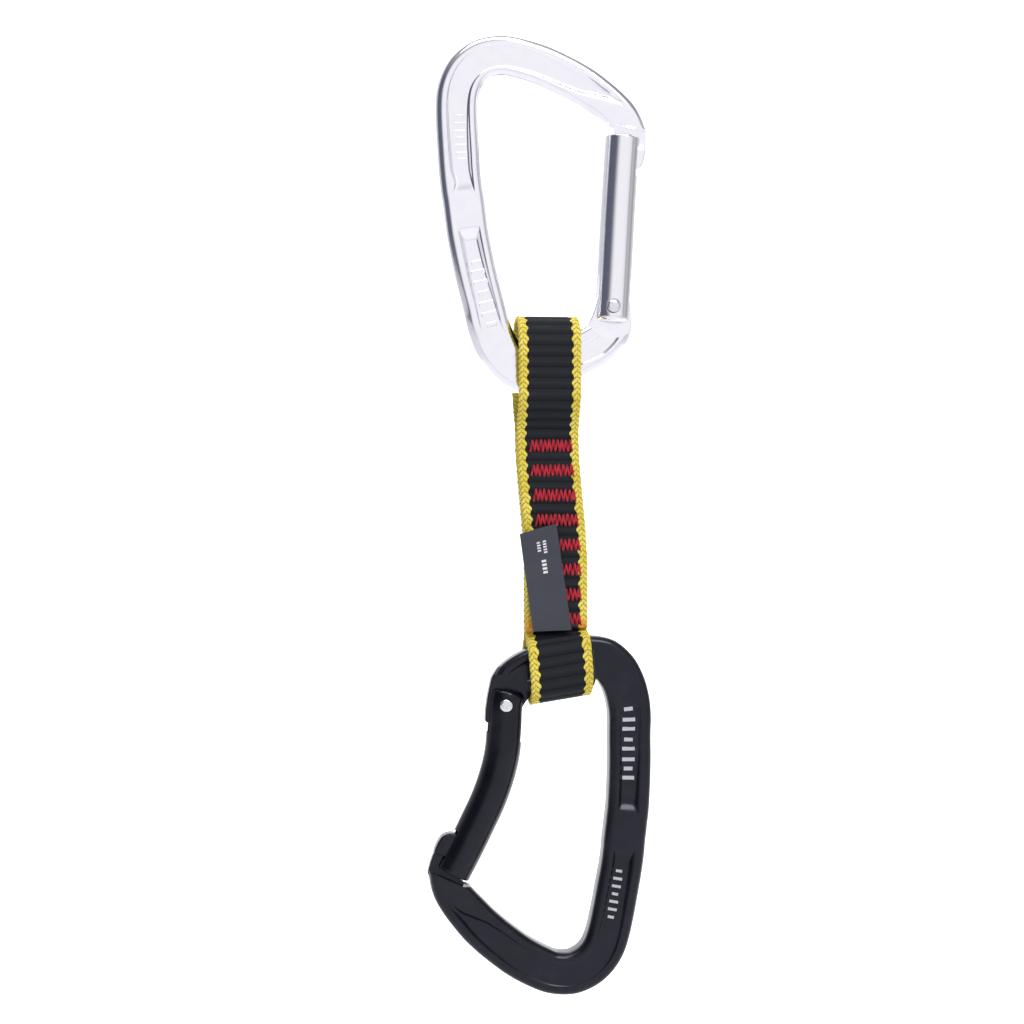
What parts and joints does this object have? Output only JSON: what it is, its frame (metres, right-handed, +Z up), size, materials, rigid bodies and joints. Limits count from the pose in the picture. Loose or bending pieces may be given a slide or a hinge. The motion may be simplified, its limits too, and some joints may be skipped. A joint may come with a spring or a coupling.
{
  "type": "climbing quickdraw",
  "caption": "Two keylock snap carabiners, one with a straight gate and one with a bent gate, joined by a bar-tacked webbing sling with a rubber keeper.",
  "frame": {"origin": "hang point: inside apex of the top bow of the upper carabiner, on the mid-plane of the frames", "axes": "+Z up along the hanging quickdraw, +Y through the thickness away from the front, +X to the right with the upper carabiner's spine on the left"},
  "size_m": [0.0629, 0.0172, 0.2678],
  "materials": {
    "polished_aluminium": "polished",
    "gate_aluminium": "polished",
    "black_anodised": "satin anodised",
    "gate_black": "satin anodised",
    "rivet_steel": "peened",
    "spring_steel": "drawn",
    "webbing": "ribbed weave, yellow edges",
    "red_thread": "thread",
    "label_cloth": "smooth woven",
    "keeper_rubber": "matt"
  },
  "bodies": {
    "upper_frame": {"upper_frame": "polished_aluminium", "upper_hinge_rivet": "rivet_steel"},
    "upper_gate": {"upper_gate": "gate_aluminium", "upper_gate_spring": "spring_steel"},
    "upper_plunger": {"upper_gate_plunger": "spring_steel"},
    "sling": {"sling_webbing": "webbing", "bar_tack_1": "red_thread", "bar_tack_2": "red_thread", "bar_tack_3": "red_thread", "bar_tack_4": "red_thread", "bar_tack_5": "red_thread", "bar_tack_6": "red_thread", "bar_tack_7": "red_thread", "bar_tack_8": "red_thread", "label": "label_cloth", "keeper": "keeper_rubber"},
    "lower_frame": {"lower_frame": "black_anodised", "lower_hinge_rivet": "rivet_steel"},
    "lower_gate": {"lower_gate": "gate_black", "lower_gate_spring": "spring_steel"},
    "lower_plunger": {"lower_gate_plunger": "spring_steel"}
  },
  "joints": [
    {"name": "upper_gate_hinge", "type": "hinge", "parent": "upper_frame", "child": "upper_gate", "pos_m": [0.0314, 0, -0.0639], "axis": [0, -1, 0], "range_deg": [0, 28], "stiffness_Nm_per_rad": 0.15, "springref_deg": -45.84},
    {"name": "upper_plunger_slide", "type": "slide", "parent": "upper_gate", "child": "upper_plunger", "axis": [0.0698, 0, 0.9976], "range_m": [0, 0.00116], "deforming": ["upper_gate_spring"]},
    {"name": "sling_swing", "type": "hinge", "parent": "upper_frame", "child": "sling", "pos_m": [0.0136, 0, -0.0795], "axis": [0.9806, 0, 0.1961], "range_deg": [-35, 35]},
    {"name": "lower_swing", "type": "hinge", "parent": "sling", "child": "lower_frame", "pos_m": [0.0177, 0, -0.1636], "axis": [0.9837, 0, 0.1799], "range_deg": [-15, 15]},
    {"name": "lower_gate_hinge", "type": "hinge", "parent": "lower_frame", "child": "lower_gate", "pos_m": [0.0013, 0, -0.1752], "axis": [0, -1, 0], "range_deg": [0, 28], "stiffness_Nm_per_rad": 0.15, "springref_deg": -45.84},
    {"name": "lower_plunger_slide", "type": "slide", "parent": "lower_gate", "child": "lower_plunger", "axis": [-0.1045, 0, -0.9945], "range_m": [0, 0.00116], "deforming": ["lower_gate_spring"]}
  ],
  "couplings": [
    {"joint": "upper_plunger_slide", "follows": "upper_gate_hinge", "m_per_rad": 0.0023532},
    {"joint": "lower_plunger_slide", "follows": "lower_gate_hinge", "m_per_rad": 0.0023532}
  ]
}
